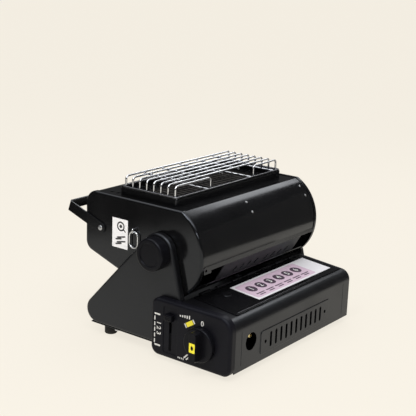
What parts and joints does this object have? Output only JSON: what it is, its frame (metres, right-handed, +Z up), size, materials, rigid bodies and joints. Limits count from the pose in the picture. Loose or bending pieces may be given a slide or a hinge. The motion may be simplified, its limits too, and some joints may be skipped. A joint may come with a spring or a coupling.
{
  "type": "tabletop gas heater stove",
  "caption": "Cartridge gas stove and heater: a low base with a lidded bay and knob, and a drum-fronted burner head with a wire guard that tilts between two leg brackets.",
  "frame": {"origin": "on the table under the middle of the stove's outside box", "axes": "+X along the stove away from the control panel, +Y from the front wall to the carry handle, +Z up"},
  "size_m": [0.376, 0.3292, 0.2459],
  "materials": {
    "black_paint": "gloss",
    "black_moulding": "satin",
    "yellow_insert": "gloss",
    "printed_label": "gloss",
    "chromed_wire": "bright",
    "bright_steel": "zinc plated",
    "rubber_foot": "matte",
    "cast_valve": "as cast",
    "brass_fitting": "turned",
    "burner_ceramic": "matte",
    "white_ceramic": "glazed",
    "fibre_gasket": "fibrous",
    "dark_mesh": "heat darkened",
    "nylon_spacer": "satin"
  },
  "bodies": {
    "base": {"base_pan": "black_paint", "front_shell": "black_paint", "left_leg_bracket": "black_paint", "right_leg_bracket": "black_paint", "rear_deck": "black_paint", "control_panel": "black_moulding", "lever_guide": "black_moulding", "front_feet": "rubber_foot", "rear_feet": "rubber_foot", "front_foot_screws": "bright_steel", "rear_foot_screws": "bright_steel", "leg_screws": "bright_steel", "valve_bracket": "bright_steel", "valve_body": "cast_valve", "cartridge_collar": "cast_valve", "gas_outlet_spigot": "brass_fitting", "spark_igniter": "black_moulding", "cartridge_saddles": "bright_steel", "lid_hinge_pin": "bright_steel", "left_pivot_spacer": "nylon_spacer", "right_pivot_spacer": "nylon_spacer"},
    "lid": {"cartridge_lid": "black_paint", "lid_label": "printed_label"},
    "gas_knob": {"gas_knob": "black_moulding", "gas_knob_marker": "yellow_insert", "valve_stem": "bright_steel"},
    "lever": {"cartridge_lever": "black_moulding"},
    "hook": {"draw_hook": "bright_steel"},
    "left_tilt_knob": {"left_tilt_knob": "black_moulding"},
    "right_tilt_knob": {"right_tilt_knob": "black_moulding"},
    "head": {"left_end_cap": "black_paint", "right_end_cap": "black_paint", "drum_cover": "black_paint", "cover_rivets": "bright_steel", "top_plate": "black_paint", "back_cover": "black_paint", "vent_plate": "black_paint", "burner_frame": "black_paint", "guard_rail": "chromed_wire", "guard_hoops": "chromed_wire", "guard_cross_wires": "chromed_wire", "burner_box": "black_paint", "tile_shelf": "black_paint", "tile_gasket": "fibre_gasket", "ceramic_tiles": "burner_ceramic", "burner_screen": "dark_mesh", "mixing_tube": "bright_steel", "gas_injector": "brass_fitting", "electrode_insulator": "white_ceramic", "spark_electrode": "bright_steel", "left_pivot_bolt": "bright_steel", "right_pivot_bolt": "bright_steel", "cap_label": "printed_label", "ring_eye": "chromed_wire", "left_handle_screw": "bright_steel", "right_handle_screw": "bright_steel"},
    "handle": {"carry_handle": "black_paint"},
    "ring": {"hanging_ring": "chromed_wire"}
  },
  "joints": [
    {"name": "head_tilt", "type": "hinge", "parent": "base", "child": "head", "pos_m": [0.007, -0.02164, 0.15297], "axis": [1, 0, 0], "range_deg": [0, 80]},
    {"name": "left_tilt_knob_turn", "type": "hinge", "parent": "base", "child": "left_tilt_knob", "pos_m": [-0.165, -0.02164, 0.15297], "axis": [-1, 0, 0], "range_deg": [0, 360]},
    {"name": "right_tilt_knob_turn", "type": "hinge", "parent": "base", "child": "right_tilt_knob", "pos_m": [0.179, -0.02164, 0.15297], "axis": [1, 0, 0], "range_deg": [0, 360]},
    {"name": "gas_knob_turn", "type": "hinge", "parent": "base", "child": "gas_knob", "pos_m": [-0.168, -0.11415, 0.044], "axis": [-1, 0, 0], "range_deg": [0, 110]},
    {"name": "lever_press", "type": "slide", "parent": "base", "child": "lever", "axis": [0, 0, -1], "range_m": [0, 0.02]},
    {"name": "hook_draw", "type": "slide", "parent": "base", "child": "hook", "axis": [-1, 0, 0], "range_m": [0, 0.004]},
    {"name": "lid_open", "type": "hinge", "parent": "base", "child": "lid", "pos_m": [0.006, -0.07334, 0.09377], "axis": [-1, 0, 0], "range_deg": [0, 60]},
    {"name": "handle_swing", "type": "hinge", "parent": "head", "child": "handle", "pos_m": [0.007, 0.09586, 0.16397], "axis": [1, 0, 0], "range_deg": [-100, 70]},
    {"name": "ring_swing", "type": "hinge", "parent": "head", "child": "ring", "pos_m": [-0.147, 0.02986, 0.17137], "axis": [0, 1, 0], "range_deg": [0, 100]}
  ],
  "couplings": [
    {"joint": "hook_draw", "follows": "lever_press", "ratio": 0.2}
  ]
}
